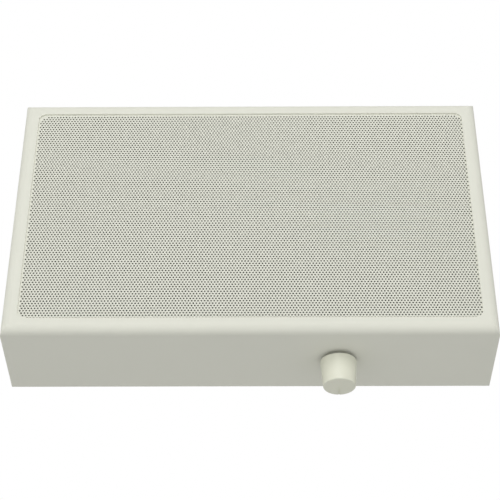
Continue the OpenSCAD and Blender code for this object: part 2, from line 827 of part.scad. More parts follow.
// Back plate: a shallow tray with a rim on three sides and two joggled tongues behind the lip
module back_plate() {
  lip_top = cover_t + lip_h - case_h / 2;
  edge_z = lip_top + 0.5;
  color(zinc) difference() {
    union() {
      difference() {
        intersection() {
          rear_block(plate_shrink, -tab_h, 0);
          union() {
            translate([0, -rim_h, edge_z + case_h]) cube([2 * case_w, 2 * rim_h, 2 * case_h], center = true);
            for (side = [-1, 1])
              translate([side * cover_screw_x, -tab_h / 2, case_h / 2]) cube([tab_w, tab_h, case_h / 4], center = true);
          }
        }
        rear_block(plate_shrink + plate_t, -2 * tab_h, -plate_t);
        translate([-case_w, -2 * tab_h - plate_t, edge_z - rim_h]) cube([2 * case_w, 2 * tab_h, 2 * rim_h]);
        for (x = [-1, 1])
          translate([x * case_w / 2, -tab_h - plate_t, case_h / 2])
            cube([4 * plate_t + 2 * plate_shrink, 2 * tab_h, 4 * plate_t + 2 * plate_shrink], center = true);
        for (side = [-1, 1])
          translate([side * tongue_x - tongue_w / 2 - 1, -plate_t - 1, edge_z - 1])
            cube([tongue_w + 2, plate_t + 2, 5]);
      }
      for (side = [-1, 1]) translate([side * tongue_x, 0, 0]) tongue(lip_top);
    }
    for (x = [-1, 1], z = [-1, 1])
      translate([x * screw_span_x / 2, 1, z * screw_span_z / 2])
        rotate([90, 0, 0]) cylinder(h = plate_t + 2, d = wall_hole_d);
    translate([entry_x, 1, entry_z]) rotate([90, 0, 0]) cylinder(h = plate_t + 2, d = entry_d);
    on_plate(transformer_x, transformer_z) for (side = [-1, 1])
      translate([side * foot_hole_x, 0, -2 * plate_t]) cylinder(h = 3 * plate_t, d = screw_d);
    at_terminal_fixings() translate([0, 0, -2 * plate_t]) cylinder(h = 3 * plate_t, d = fixing_d);
    for (side = [-1, 1])
      at_cover_screw(side) translate([0, 0, -6 * plate_t]) cylinder(h = 8 * plate_t, d = screw_d);
  }
}

// Tongue bent forwards so that it lies in front of the cover's lip
module tongue(lip_top) {
  step = wall_gap + cover_t + tongue_play;
  start = lip_top + 5.5;
  rotate([90, 0, 90]) linear_extrude(tongue_w, center = true) polygon([
    [0, start], [0, start - 1.5], [-step, lip_top + 0.5], [-step, lip_top - lip_h + 1.5],
    [-step - plate_t, lip_top - lip_h + 1.5], [-step - plate_t, lip_top + 1], [-plate_t, start]
  ]);
}

// Grommet: flush with the wall face, with a flange inside the plate
module cable_grommet() {
  color(black) difference() {
    union() {
      on_plate(entry_x, entry_z) translate([0, 0, -plate_t]) cylinder(h = plate_t + 0.5, d = entry_d);
      on_plate(entry_x, entry_z) rotate_extrude() {
        square([entry_d / 2 + 2, grommet_flange]);
        translate([entry_d / 2 + 2, 0]) intersection() {
          circle(grommet_flange);
          square(grommet_flange);
        }
      }
    }
    on_plate(entry_x, entry_z) translate([0, 0, -2 * plate_t]) cylinder(h = 4 * plate_t, d = grommet_bore_d);
  }
}

module cover_screws() {
  color(zinc) for (side = [-1, 1]) at_cover_screw(side) pan_screw(screw_d, cover_t + plate_fit + plate_t + 4);
}

// Clinch nuts under the tabs of the back plate
module cover_nuts() {
  drop = cover_t + plate_fit * cos(side_flare) + plate_t * cos(side_flare);
  color(zinc) for (side = [-1, 1])
    at_cover_screw(side) translate([0, 0, -drop - 3]) ring(screw_d, screw_d / 2, 3);
}

module at_poles() {
  for (i = [0 : poles - 1])
    on_plate(block_x + (i - (poles - 1) / 2) * pole_pitch, block_z) children();
}

module at_terminal_fixings() {
  for (i = [0 : poles - 2])
    on_plate(block_x + (i - (poles - 2) / 2) * pole_pitch, block_z) children();
}

// Terminal block: low between the poles, with a tower over each one
module terminal_body() {
  tower_w = pole_pitch - 3;
  base_h = sleeve_z + sleeve_d / 2 + 0.8;
  color([0.92, 0.92, 0.9]) difference() {
    union() {
      on_plate(block_x, block_z) translate([-poles * pole_pitch / 2, -block_l / 2, 0])
        cube([poles * pole_pitch, block_l, 3]);
      at_poles() translate([-tower_w / 2, -block_l / 2, 0]) cube([tower_w, block_l, base_h]);
      at_poles() cylinder(h = block_h, d = tower_w);
    }
    at_poles() translate([0, block_l, sleeve_z]) rotate([90, 0, 0]) cylinder(h = 2 * block_l, d = sleeve_d);
    at_poles() translate([0, 0, sleeve_z]) cylinder(h = block_h, d = sleeve_d - 0.8);
    at_terminal_fixings() translate([0, 0, -1]) cylinder(h = block_h, d = fixing_d + 0.4);
    at_terminal_fixings() translate([0, 0, 3]) cylinder(h = block_h, r = fixing_d);
  }
}

module terminal_sleeves() {
  sleeve_l = block_l - 2;
  color(brass) at_poles() translate([0, sleeve_l / 2, sleeve_z]) rotate([90, 0, 0]) difference() {
    ring(sleeve_d / 2, sleeve_bore_d / 2, sleeve_l);
    translate([0, 0, sleeve_l / 2]) rotate([-90, 0, 0]) cylinder(h = sleeve_d, r = 1.25);
  }
}

module terminal_screws() {
  top_z = block_h - 2.5;
  tip_z = sleeve_z + sleeve_bore_d / 2;
  color(zinc) at_poles() difference() {
    union() {
      translate([0, 0, top_z - 2]) cylinder(h = 2, r = sleeve_d / 2 - 0.4);
      translate([0, 0, tip_z]) cylinder(h = top_z - tip_z - 1, r = 1.25);
    }
    translate([-sleeve_d / 2, -0.3, top_z - 0.8]) cube([sleeve_d, 0.6, 2]);
  }
}

module terminal_fixings() {
  color(zinc) at_terminal_fixings() translate([0, 0, 3]) pan_screw(fixing_d, 3 + plate_t);
}

// Feed pair: from the terminal block to the winding's upper side
module feed_wires() {
  coil_z = transformer_z + winding_reach() - solder_lap;
  color([0.6, 0.1, 0.1]) for (i = [0, 1]) {
    from_x = block_x + (i - (poles - 1) / 2) * pole_pitch;
    to_x = transformer_x + lead_pitch / 2 - lead_pitch * i;
    rise = coil_z + feed_rise - feed_step * i;
    wire([
      [from_x, -plate_t - sleeve_z, block_z + block_l / 2 - 4],
      [from_x, -plate_t - sleeve_z, rise],
      [to_x, -core_h / 2 - plate_t, rise],
      [to_x, -core_h / 2 - plate_t, coil_z]
    ], wire_d);
  }
}

// Control pair: from the winding's lower side to the volume control
module control_wires() {
  coil_z = transformer_z - winding_reach() + solder_lap;
  color([0.1, 0.1, 0.5]) for (i = [0, 1]) {
    from = [transformer_x + lead_pitch * (i - 0.5), -core_h / 2 - plate_t, coil_z];
    to = tag_tip(i) + [0, tag_lap, 0];
    wire([from, from + [0, -2, -control_run], to + [0, 0, control_run], to], wire_d);
  }
}

// Driver pair: from the volume control to the driver's tags
module driver_wires() {
  color([0.2, 0.2, 0.2]) for (i = [0, 1]) {
    side = 2 * i - 1;
    from = tag_tip(i - 1) - [0, tag_lap, 0];
    to = [driver_x + driver_r - 7.6 + tag_lap, driver_front + basket_t + 6, side * 6];
    wire([from, from + [0, 0, driver_rise], to + [0, driver_back, -driver_drop], to], wire_d);
  }
}

// How far the winding stands above and below the transformer's middle
function winding_reach() = (core_stack + (core_w - 2 * core_leg) - 2) / 2;
// Place on one of the control's tags where a wire is soldered
function tag_tip(i) = [
  knob_x + i * tag_pitch,
  -knob_y - (body_end - wafer_t - 3) * sin(side_flare),
  knob_y * tan(side_flare) - case_h / 2 - (body_end - wafer_t - 3) * cos(side_flare)
];

front_cover();
grille_sheet();
grille_cloth();
baffle_board();
board_angles();
board_screws();
driver_basket();
driver_gasket();
driver_bolts();
driver_nuts();
surround();
paper_cone();
dust_cap();
coil_former();
voice_coil();
spider();
front_plate();
ring_magnet();
magnet_yoke();
driver_tags();
tinsel_leads();
transformer_core();
transformer_bobbin();
transformer_winding();
transformer_clamp();
transformer_screws();
control_body();
control_tags();
control_lock_washer();
control_washer();
control_nut();
control_shaft();
volume_knob();
back_plate();
cable_grommet();
cover_screws();
cover_nuts();
terminal_body();
terminal_sleeves();
terminal_screws();
terminal_fixings();
feed_wires();
control_wires();
driver_wires();
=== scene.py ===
"""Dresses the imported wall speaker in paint, perforated steel, cloth and plated metal, in its studio."""

import json
import math

import bmesh
import bpy
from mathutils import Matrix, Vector


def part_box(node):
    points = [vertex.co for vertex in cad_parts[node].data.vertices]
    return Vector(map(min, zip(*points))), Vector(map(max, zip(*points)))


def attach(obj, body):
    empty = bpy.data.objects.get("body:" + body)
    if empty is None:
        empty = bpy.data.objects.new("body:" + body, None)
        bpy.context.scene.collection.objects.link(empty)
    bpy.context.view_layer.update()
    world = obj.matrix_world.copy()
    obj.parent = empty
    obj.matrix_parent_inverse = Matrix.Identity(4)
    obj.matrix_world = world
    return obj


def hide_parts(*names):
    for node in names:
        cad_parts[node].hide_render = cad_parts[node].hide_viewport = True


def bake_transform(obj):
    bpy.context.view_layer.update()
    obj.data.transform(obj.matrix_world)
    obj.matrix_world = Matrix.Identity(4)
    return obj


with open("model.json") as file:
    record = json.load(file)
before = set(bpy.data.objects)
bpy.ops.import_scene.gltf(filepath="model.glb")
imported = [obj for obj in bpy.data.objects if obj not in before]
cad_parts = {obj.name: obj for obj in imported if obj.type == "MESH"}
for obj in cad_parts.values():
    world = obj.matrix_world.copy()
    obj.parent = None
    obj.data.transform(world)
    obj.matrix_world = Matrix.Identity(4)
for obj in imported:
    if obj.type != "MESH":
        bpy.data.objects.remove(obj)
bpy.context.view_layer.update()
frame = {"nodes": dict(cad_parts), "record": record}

bl_info = {
    "name": "Wall speaker finish",
    "version": (1, 0, 0),
    "blender": (4, 5, 0),
    "location": "3D View > Sidebar > Speaker",
    "description": "Dresses a wall speaker in paint, perforated steel, cloth and plated metal",
    "category": "Object",
}

MM = 0.001
ROW_RATIO = math.sqrt(3) / 2
WHITE = (1.0, 1.0, 1.0, 1.0)


class StageSettings(bpy.types.PropertyGroup):
    """Camera, lamps and floor."""

    camera_place: bpy.props.FloatVectorProperty(
        name="Camera place",
        description="Where the camera stands, in front of the speaker and below it",
        default=(0.0051, -0.7746, -0.5102),
        subtype="TRANSLATION",
        unit="LENGTH",
    )
    camera_turn: bpy.props.FloatVectorProperty(
        name="Camera turn",
        description="The camera's turn about X, Y and Z",
        default=(math.radians(124.127), math.radians(-0.057), math.radians(0.367)),
        subtype="EULER",
    )
    camera_lens: bpy.props.FloatProperty(
        name="Lens",
        description="Focal length on a sensor 36 mm wide",
        default=97.03,
        min=20.0,
        unit="CAMERA",
    )
    ambient: bpy.props.FloatProperty(
        name="Ambient light",
        description="Strength of the light that comes from all around",
        default=0.34,
        min=0.0,
    )
    key_power: bpy.props.FloatProperty(
        name="Key lamp",
        description="Power of the large soft lamp in front",
        default=84.0,
        min=0.0,
        unit="POWER",
    )
    side_power: bpy.props.FloatProperty(
        name="Side lamps",
        description="Power of each of the two soft lamps beside the speaker",
        default=12.0,
        min=0.0,
        unit="POWER",
    )
    floor_glow: bpy.props.FloatProperty(
        name="Floor glow",
        description="Light that the pale floor sends up to the speaker's underside",
        default=0.05,
        min=0.0,
    )
    floor_white: bpy.props.FloatProperty(
        name="Floor white",
        description="Light added to the floor where it is seen directly, so that it shows white",
        default=0.6,
        min=0.0,
    )
    floor_height: bpy.props.FloatProperty(
        name="Floor height",
        description="Height of the studio floor, far below the speaker on its wall",
        default=-1.2,
        subtype="DISTANCE",
        unit="LENGTH",
    )
    floor_half: bpy.props.FloatProperty(
        name="Floor half",
        description="Half the side of the square floor",
        default=4.0,
        subtype="DISTANCE",
        unit="LENGTH",
    )


class CoverSettings(bpy.types.PropertyGroup):
    """The painted case."""

    colour: bpy.props.FloatVectorProperty(
        name="Paint",
        description="Colour of the powder paint on case and grille",
        default=(0.772, 0.776, 0.685),
        subtype="COLOR",
        size=3,
        min=0.0,
        max=1.0,
    )
    grain: bpy.props.FloatProperty(
        name="Grain",
        description="Size of the ripples in the powder paint",
        default=1.1 * MM,
        subtype="DISTANCE",
        unit="LENGTH",
    )


class GrilleSettings(bpy.types.PropertyGroup):
    """The perforated sheet."""

    pitch: bpy.props.FloatProperty(
        name="Hole pitch",
        description="Distance between neighbouring holes",
        default=2.0 * MM,
        subtype="DISTANCE",
        unit="LENGTH",
    )
    hole: bpy.props.FloatProperty(
        name="Hole diameter",
        description="Diameter of one hole",
        default=1.2 * MM,
        subtype="DISTANCE",
        unit="LENGTH",
    )
    row_pairs: bpy.props.IntProperty(
        name="Row pairs",
        description="Number of pairs of staggered rows",
        default=47,
        min=1,
    )
    field_width: bpy.props.FloatProperty(
        name="Field width",
        description="Greatest width over the middles of the outermost holes",
        default=285.4 * MM,
        subtype="DISTANCE",
        unit="LENGTH",
    )
    field_shift: bpy.props.FloatProperty(
        name="Field shift",
        description="Distance of the field of holes to the right of the sheet's middle",
        default=0.5 * MM,
        subtype="DISTANCE",
        unit="LENGTH",
    )
    field_corner: bpy.props.FloatProperty(
        name="Field corner",
        description="Radius on which the holes turn at the field's corners",
        default=5.0 * MM,
        subtype="DISTANCE",
        unit="LENGTH",
    )
    rise: bpy.props.FloatProperty(
        name="Rise",
        description="Height of the middle of all rows above the case's middle",
        default=0.65 * MM,
        subtype="DISTANCE",
        unit="LENGTH",
    )
    sides: bpy.props.IntProperty(
        name="Hole sides",
        description="Number of flat sides that make up a round hole",
        default=8,
        min=6,
        max=12,
    )
    strips: bpy.props.IntProperty(
        name="Strips",
        description="Number of meshes that the sheet is shared between",
        default=4,
        min=1,
    )


class ClothSettings(bpy.types.PropertyGroup):
    """The acoustic cloth."""

    play: bpy.props.FloatProperty(
        name="Play",
        description="Room between the cloth and what it lies against, on each face",
        default=0.05 * MM,
        subtype="DISTANCE",
        unit="LENGTH",
    )
    wave: bpy.props.FloatProperty(
        name="Wave",
        description="Height of the slight waves that stretching leaves",
        default=0.04 * MM,
        subtype="DISTANCE",
        unit="LENGTH",
    )
    wave_across: bpy.props.FloatProperty(
        name="Wave across",
        description="Length over which a wave turns by one radian from left to right",
        default=40 * MM,
        subtype="DISTANCE",
        unit="LENGTH",
    )
    wave_up: bpy.props.FloatProperty(
        name="Wave up",
        description="Length over which a wave turns by one radian from bottom to top",
        default=31 * MM,
        subtype="DISTANCE",
        unit="LENGTH",
    )
    columns: bpy.props.IntProperty(
        name="Columns",
        description="Number of mesh cells from left to right",
        default=72,
        min=1,
    )
    rows: bpy.props.IntProperty(
        name="Rows",
        description="Number of mesh cells from bottom to top",
        default=42,
        min=1,
    )


class KnobSettings(bpy.types.PropertyGroup):
    """The volume knob."""

    colour: bpy.props.FloatVectorProperty(
        name="Plastic",
        description="Colour of the knob's moulded plastic",
        default=(0.765, 0.77, 0.645),
        subtype="COLOR",
        size=3,
        min=0.0,
        max=1.0,
    )


class DriverSettings(bpy.types.PropertyGroup):
    """What stretches when the cone moves."""

    sectors: bpy.props.IntProperty(
        name="Sectors",
        description="Number of equal sectors in which surround and spider stretch outwards from the cone",
        default=8,
        min=6,
        max=16,
    )
    surround_lip: bpy.props.FloatProperty(
        name="Surround's inner lip",
        description="Width of the lip that is glued to the cone",
        default=3.0 * MM,
        subtype="DISTANCE",
        unit="LENGTH",
    )
    surround_flange: bpy.props.FloatProperty(
        name="Surround's outer flange",
        description="Width of the flange that is glued to the basket",
        default=4.5 * MM,
        subtype="DISTANCE",
        unit="LENGTH",
    )
    spider_hub: bpy.props.FloatProperty(
        name="Spider's hub",
        description="Width of the hub that is glued to the coil former",
        default=1.5 * MM,
        subtype="DISTANCE",
        unit="LENGTH",
    )
    spider_rim: bpy.props.FloatProperty(
        name="Spider's rim",
        description="Width of the rim that is glued to the basket",
        default=5.0 * MM,
        subtype="DISTANCE",
        unit="LENGTH",
    )
    lead_end: bpy.props.FloatProperty(
        name="Lead's end",
        description="Length of each lead's two ends that don't bend",
        default=3.0 * MM,
        subtype="DISTANCE",
        unit="LENGTH",
    )


class Value:
    """An output socket of a node tree, on which sums can be written."""

    def __init__(self, nodes, socket):
        self.nodes = nodes
        self.socket = socket

    def __add__(self, other):
        return self.nodes.math("ADD", self, other)

    def __radd__(self, other):
        return self.nodes.math("ADD", other, self)

    def __sub__(self, other):
        return self.nodes.math("SUBTRACT", self, other)

    def __rsub__(self, other):
        return self.nodes.math("SUBTRACT", other, self)

    def __mul__(self, other):
        return self.nodes.math("MULTIPLY", self, other)

    def __lt__(self, other):
        return self.nodes.math("LESS_THAN", self, other)

    def __gt__(self, other):
        return self.nodes.math("GREATER_THAN", self, other)


class Nodes:
    """Adds nodes to one tree: settings first, then the values and links of their sockets."""

    def __init__(self, tree):
        self.tree = tree

    def add(self, kind, settings=None, values=None, output=0):
        node = self.tree.nodes.new(kind)
        for name, setting in (settings or {}).items():
            setattr(node, name, setting)
        for name, value in (values or {}).items():
            socket = self.find(node.inputs, name)
            for part in value if isinstance(value, list) else [value]:
                if isinstance(part, Value):
                    self.tree.links.new(part.socket, socket)
                else:
                    socket.default_value = part
        return Value(self, self.find(node.outputs, output)) if node.outputs else None

    def find(self, sockets, name):
        if isinstance(name, int):
            return sockets[name]
        by_identifier = [socket for socket in sockets if socket.identifier == name]
        return by_identifier[0] if by_identifier else sockets[name]

    def math(self, operation, *values):
        return self.add("ShaderNodeMath", {"operation": operation}, dict(enumerate(values)))

    def other_output(self, value, name):
        return Value(self, self.find(value.socket.node.outputs, name))


class Finish(Nodes):
    """One material, with its patterns on Object coordinates in metres."""

    def __init__(self, name):
        self.material = bpy.data.materials.get(name) or bpy.data.materials.new(name)
        self.material.use_nodes = True
        self.material.node_tree.nodes.clear()
        super().__init__(self.material.node_tree)
        self.place = self.add("ShaderNodeTexCoord", output="Object")

    def axes(self):
        x = self.add("ShaderNodeSeparateXYZ", values={0: self.place}, output="X")
        return x, self.other_output(x, "Y"), self.other_output(x, "Z")

    def stretched(self, x, y, z):
        """Object coordinates times one factor for each axis."""
        values = {"Vector": self.place, "Scale": (x, y, z)}
        return self.add("ShaderNodeMapping", {"vector_type": "POINT"}, values)

    def noise(self, size, detail=2.0, place=None):
        values = {"Vector": place or self.place, "Scale": 1.0 / size, "Detail": detail}
        return self.add("ShaderNodeTexNoise", values=values)

    def cells(self, size):
        values = {"Vector": self.place, "Scale": 1.0 / size}
        return self.add("ShaderNodeTexVoronoi", {"feature": "F1"}, values, "Distance")

    def wave(self, coordinate, length):
        """Height from 0 to 1 of a wave along one coordinate."""
        return self.math("SINE", coordinate * (2 * math.pi / length)) * 0.5 + 0.5

    def blend(self, factor, first, second):
        values = {"Factor_Float": factor, "A_Color": colour4(first), "B_Color": colour4(second)}
        return self.add("ShaderNodeMix", {"data_type": "RGBA"}, values, "Result_Color")

    def radius(self, centre_x, centre_z):
        """Distance from an axis that runs along Y."""
        x, _, z = self.axes()
        across = x - centre_x
        up = z - centre_z
        return self.math("SQRT", across * across + up * up)

    def shade(self, colour, roughness, height=None, rise=0.0, **sockets):
        """Ends the material. A height from 0 to 1 stands out by the rise."""
        values = {"Base Color": colour4(colour), "Roughness": roughness}
        for name, value in sockets.items():
            values[name.replace("_", " ").title().replace("Ior", "IOR")] = value
        if height is not None:
            bump = {"Height": height, "Strength": 1.0, "Distance": rise}
            values["Normal"] = self.add("ShaderNodeBump", values=bump)
        shader = self.add("ShaderNodeBsdfPrincipled", values=values)
        self.add("ShaderNodeOutputMaterial", values={"Surface": shader})
        return self.material


def colour4(colour):
    return colour if isinstance(colour, Value) or len(colour) == 4 else (*colour, 1.0)


def shaded(colour, factor):
    return tuple(channel * factor for channel in colour)


def powder_paint(name, colour, grain):
    """Satin powder paint: soft ripples, fine grains and a faint drift of tone."""
    f = Finish(name)
    drift = f.noise(90 * MM)
    ripple = f.noise(grain)
    grains = f.noise(0.25 * grain, detail=1.0)
    tone = f.blend(drift, shaded(colour, 0.985), shaded(colour, 1.015))
    rough = 0.6 + ripple * 0.1
    relief = ripple + grains * 0.35
    return f.shade(tone, rough, relief, rise=0.012 * MM, specular_ior_level=0.3)


def moulded_plastic(name, colour, roughness=0.45):
    """Moulded plastic with the fine spark-eroded texture of its mould."""
    f = Finish(name)
    drift = f.noise(12 * MM)
    texture = f.noise(0.5 * MM, detail=1.0)
    tone = f.blend(drift, shaded(colour, 0.98), shaded(colour, 1.02))
    return f.shade(tone, roughness + texture * 0.1, texture, rise=0.004 * MM)


def zinc_steel(name):
    """Zinc plate on cold rolled sheet: a cloudy bluish bloom over fine rolling marks."""
    f = Finish(name)
    cloud = f.noise(22 * MM, detail=3.0)
    rolled = f.noise(0.35 * MM, place=f.stretched(0.02, 1.0, 1.0))
    spangle = f.cells(3 * MM)
    tone = f.blend(cloud, (0.50, 0.51, 0.53), (0.66, 0.66, 0.65))
    rough = 0.30 + cloud * 0.12 + rolled * 0.06
    relief = rolled + spangle * 0.2
    return f.shade(tone, rough, relief, rise=0.003 * MM, metallic=1.0)


def bright_steel(name):
    """Small turned and rolled steel parts with a bright coat."""
    f = Finish(name)
    cloud = f.noise(2 * MM)
    marks = f.noise(0.12 * MM)
    tone = f.blend(cloud, (0.58, 0.58, 0.58), (0.72, 0.71, 0.68))
    return f.shade(tone, 0.24 + cloud * 0.12, marks, rise=0.002 * MM, metallic=1.0)


def black_cloth(name):
    """Open black weave: threads cross over and under along X and Z."""
    f = Finish(name)
    x, _, z = f.axes()
    thread = 0.5 * MM
    warp = f.wave(x, thread)
    weft = f.wave(z, thread)
    crossing = warp * weft + (1 - warp) * (1 - weft)
    fibres = f.noise(0.1 * MM)
    tone = f.blend(crossing, (0.006, 0.006, 0.006), (0.03, 0.03, 0.029))
    return f.shade(tone, 0.85 + fibres * 0.1, crossing + fibres * 0.3, rise=0.08 * MM)


def fibreboard(name):
    """Pressed fibreboard: pale specks and short fibres in a brown mass."""
    f = Finish(name)
    fibres = f.noise(0.6 * MM, detail=4.0, place=f.stretched(0.3, 1.0, 1.0))
    specks = f.cells(1.5 * MM)
    tone = f.blend(fibres, (0.30, 0.19, 0.10), (0.50, 0.35, 0.21))
    return f.shade(tone, 0.75 + specks * 0.15, fibres + specks * 0.3, rise=0.05 * MM)


def soft_black(name, cell, rise):
    """Foam or rubber in black, with cells of a given size."""
    f = Finish(name)
    cells = f.cells(cell)
    tone = f.blend(cells, (0.012, 0.012, 0.012), (0.035, 0.035, 0.034))
    return f.shade(tone, 0.62 + cells * 0.2, cells, rise)


def cone_paper(name, centre_x, centre_z):
    """Pressed black paper: felted fibres and shallow rings around the cone's axis."""
    f = Finish(name)
    rings = f.wave(f.radius(centre_x, centre_z), 3.2 * MM)
    fibres = f.noise(0.5 * MM, detail=4.0)
    tone = f.blend(fibres, (0.012, 0.012, 0.012), (0.05, 0.048, 0.045))
    return f.shade(tone, 0.8 + fibres * 0.1, rings + fibres * 0.5, rise=0.06 * MM)


def former_card(name):
    """Varnished card of the voice coil's former."""
    f = Finish(name)
    fibres = f.noise(0.8 * MM, detail=3.0, place=f.stretched(1.0, 0.25, 1.0))
    tone = f.blend(fibres, (0.52, 0.40, 0.20), (0.68, 0.56, 0.32))
    return f.shade(tone, 0.45 + fibres * 0.15, fibres, rise=0.01 * MM)


def copper_wire(name):
    """Enamelled copper in close turns, stacked along Y."""
    f = Finish(name)
    _, y, _ = f.axes()
    turns = f.wave(y, 0.25 * MM)
    tone = f.blend(turns, (0.30, 0.09, 0.03), (0.72, 0.30, 0.12))
    return f.shade(tone, 0.25 + turns * 0.1, turns, rise=0.05 * MM, metallic=1.0)


def spider_cloth(name):
    """Resin-stiffened open weave."""
    f = Finish(name)
    x, _, z = f.axes()
    thread = 0.8 * MM
    weave = f.wave(x, thread) * f.wave(z, thread)
    resin = f.noise(5 * MM)
    tone = f.blend(weave * 0.6 + resin * 0.4, (0.34, 0.20, 0.05), (0.66, 0.46, 0.18))
    return f.shade(tone, 0.55 + resin * 0.2, weave, rise=0.08 * MM)


def ferrite(name):
    """Sintered ferrite with ground faces."""
    f = Finish(name)
    grain = f.noise(0.4 * MM, detail=4.0)
    scratches = f.noise(0.3 * MM, place=f.stretched(0.05, 1.0, 1.0))
    tone = f.blend(grain, (0.035, 0.035, 0.038), (0.075, 0.075, 0.08))
    return f.shade(tone, 0.5 + scratches * 0.2, grain + scratches * 0.5, rise=0.01 * MM)


def tag_strip(name, driver_y, control_z, border_z):
    """Brown laminate with tinned tags: the driver's over the border and the control's under it."""
    f = Finish(name)
    _, y, z = f.axes()
    at_driver = (y > driver_y) * (z > border_z)
    at_control = (z > control_z) * (z < border_z)
    brass = at_driver + at_control
    layers = f.noise(0.3 * MM, detail=3.0)
    laminate = f.blend(layers, (0.26, 0.12, 0.04), (0.42, 0.22, 0.09))
    tone = f.blend(brass, laminate, (0.72, 0.62, 0.42))
    return f.shade(tone, 0.55 - brass * 0.25, layers, rise=0.01 * MM, metallic=brass)


def core_steel(name):
    """Stacked laminations: each sheet's edge shows as a line across Z."""
    f = Finish(name)
    _, _, z = f.axes()
    sheets = f.wave(z, 0.5 * MM)
    stain = f.noise(4 * MM, detail=3.0)
    tone = f.blend(sheets * 0.7 + stain * 0.3, (0.07, 0.07, 0.08), (0.30, 0.30, 0.31))
    return f.shade(tone, 0.4 + stain * 0.2, sheets, rise=0.08 * MM, metallic=0.8)


def winding_tape(name):
    """Yellow tape wound round the coil in overlapping turns."""
    f = Finish(name)
    _, y, _ = f.axes()
    tape = 6 * MM
    turn = f.math("FRACT", y * (1 / tape))
    wrinkle = f.noise(1.5 * MM, detail=3.0, place=f.stretched(1.0, 3.0, 1.0))
    tone = f.blend(wrinkle, (0.62, 0.40, 0.03), (0.82, 0.58, 0.08))
    return f.shade(tone, 0.3 + wrinkle * 0.1, turn * 0.6 + wrinkle * 0.4, rise=0.06 * MM)


def turned_metal(name, colour, feed):
    """Bar turned on a lathe, whose tool leaves one mark for each feed along Z."""
    f = Finish(name)
    _, _, z = f.axes()
    marks = f.wave(z, feed)
    cloud = f.noise(1.5 * MM)
    tone = f.blend(cloud, shaded(colour, 0.92), colour)
    return f.shade(tone, 0.22 + cloud * 0.1, marks, rise=0.004 * MM, metallic=1.0)


def insulation(name, colour):
    """Extruded insulation, faintly ribbed by the strands inside."""
    f = Finish(name)
    strands = f.noise(0.5 * MM, detail=1.0)
    tone = f.blend(strands, shaded(colour, 0.85), colour)
    return f.shade(tone, 0.32 + strands * 0.1, strands, rise=0.01 * MM)


def make_finishes(cover, knob):
    """Makes every material slot's finish, each under the slot's own name."""
    flange_and_strip = 2.8 * MM
    tag_length = 5.0 * MM
    tag_border = -30 * MM
    driver_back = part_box("driver_basket")[0].y + flange_and_strip
    wafer_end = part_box("control_tags")[1].z - tag_length
    driver_x = centre("driver_basket").x
    driver_z = 0.0
    powder_paint("cover_paint", cover.colour, cover.grain)
    powder_paint("grille_paint", cover.colour, cover.grain)
    black_cloth("acoustic_cloth")
    fibreboard("fibreboard")
    zinc_steel("zinc_steel")
    bright_steel("screw_steel")
    soft_black("gasket_foam", cell=0.6 * MM, rise=0.1 * MM)
    soft_black("black_rubber", cell=0.3 * MM, rise=0.01 * MM)
    cone_paper("cone_paper", driver_x, driver_z)
    former_card("former_card")
    copper_wire("copper_wire")
    spider_cloth("spider_cloth")
    ferrite("ferrite")
    tag_strip("tag_fibre", driver_back, wafer_end, tag_border)
    core_steel("core_steel")
    moulded_plastic("bobbin_plastic", (0.70, 0.68, 0.58))
    winding_tape("winding_tape")
    turned_metal("shaft_metal", (0.75, 0.75, 0.77), feed=0.2 * MM)
    moulded_plastic("knob_plastic", knob.colour)
    moulded_plastic("terminal_plastic", (0.80, 0.80, 0.77), roughness=0.3)
    turned_metal("brass", (0.80, 0.60, 0.28), feed=0.3 * MM)
    insulation("red_insulation", (0.55, 0.02, 0.02))
    insulation("blue_insulation", (0.02, 0.06, 0.42))
    insulation("black_insulation", (0.02, 0.02, 0.02))


def centre(node):
    low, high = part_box(node)
    return (low + high) / 2


def slot_of(node):
    return {part["node"]: part["material_slot"] for part in frame["record"]["subparts"]}[node]


def dress(*nodes):
    """Gives CAD nodes the finish of their own slots."""
    for node in nodes:
        mesh = frame["nodes"][node].data
        mesh.materials.clear()
        mesh.materials.append(bpy.data.materials[slot_of(node)])


def check_dressed():
    """Raises an error when a CAD node that no piece replaces has no finish."""
    replaced = {"grille_sheet", "grille_cloth", "surround", "spider", "tinsel_leads"}
    kept = {name: item for name, item in frame["nodes"].items() if name not in replaced}
    plain = [name for name, item in kept.items() if not item.data.materials]
    if plain:
        raise ValueError("no finish on " + ", ".join(plain))


def add_object(name, data):
    item = bpy.data.objects.new(name, data)
    bpy.context.scene.collection.objects.link(item)
    return item


def slab(name, low, high, across=1, up=1):
    """Closed flat block between two corners, its large faces cut into a grid."""
    width, thick, height = (end - start for start, end in zip(low, high))
    half = 0.5
    form = bmesh.new()
    bmesh.ops.create_grid(form, x_segments=across, y_segments=up, size=half)
    for corner in form.verts:
        along = corner.co.x + half
        rise = corner.co.y + half
        corner.co = (low[0] + along * width, low[1], low[2] + rise * height)
    moved = bmesh.ops.extrude_face_region(form, geom=form.faces[:], use_keep_orig=True)
    lifted = [item for item in moved["geom"] if isinstance(item, bmesh.types.BMVert)]
    bmesh.ops.translate(form, verts=lifted, vec=(0, thick, 0))
    bmesh.ops.recalc_face_normals(form, faces=form.faces)
    mesh = bpy.data.meshes.new(name)
    form.to_mesh(mesh)
    form.free()
    return add_object(name, mesh)


def group_inputs(tree, rows):
    """Adds named inputs to a geometry tree and returns them as values."""
    for name, kind, default in rows:
        item = tree.interface.new_socket(name, in_out="INPUT", socket_type="NodeSocket" + kind)
        if default is not None:
            item.default_value = default
    tree.interface.new_socket("Geometry", in_out="OUTPUT", socket_type="NodeSocketGeometry")
    nodes = Nodes(tree)
    source = nodes.add("NodeGroupInput")
    return nodes, {name: nodes.other_output(source, name) for name, _, _ in rows}


